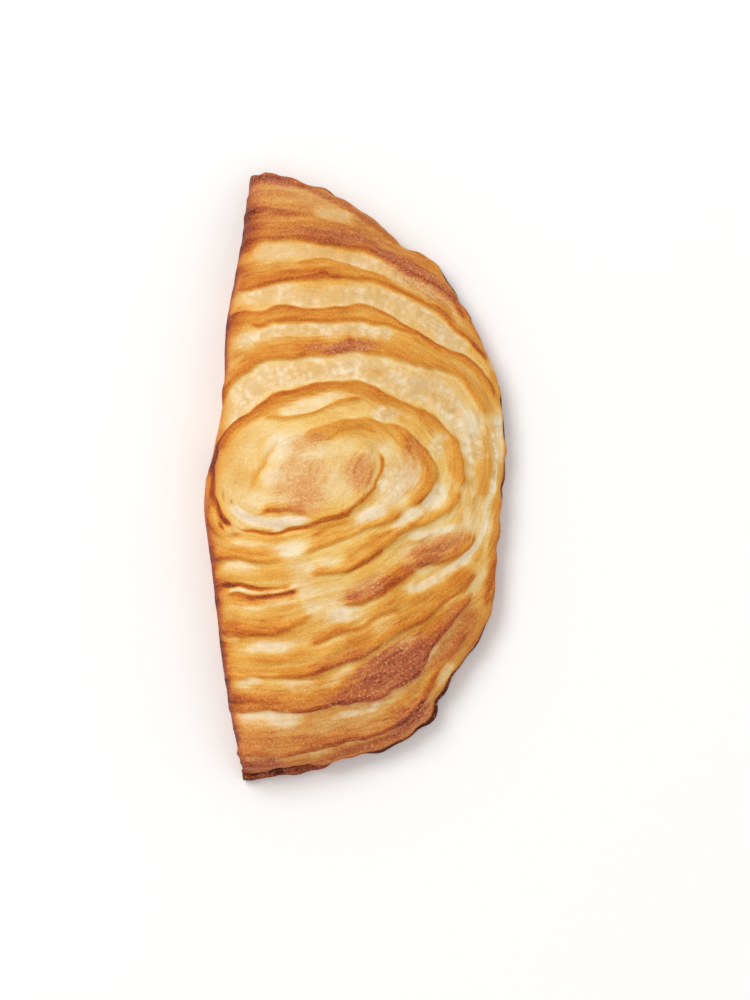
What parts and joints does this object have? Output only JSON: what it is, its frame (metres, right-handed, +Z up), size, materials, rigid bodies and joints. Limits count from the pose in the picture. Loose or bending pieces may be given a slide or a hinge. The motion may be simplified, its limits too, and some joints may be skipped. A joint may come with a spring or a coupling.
{
  "type": "half-moon puff pastry turnover",
  "caption": "Baked half-moon turnover of spiral-rolled flaky dough, with browned ridges that arch round a raised eye and an open layered rim",
  "frame": {"origin": "centre of the bounding box, on the flat underside", "axes": "+Y along the fold from the lower corner to the upper tip, +X from the fold to the open rim, +Z up"},
  "size_m": [0.076, 0.155, 0.0267],
  "materials": {
    "crust": "baked flaky dough, golden with browned ridges, matt with a faint butter sheen"
  },
  "bodies": {
    "root": {"turnover": "crust"}
  },
  "joints": []
}
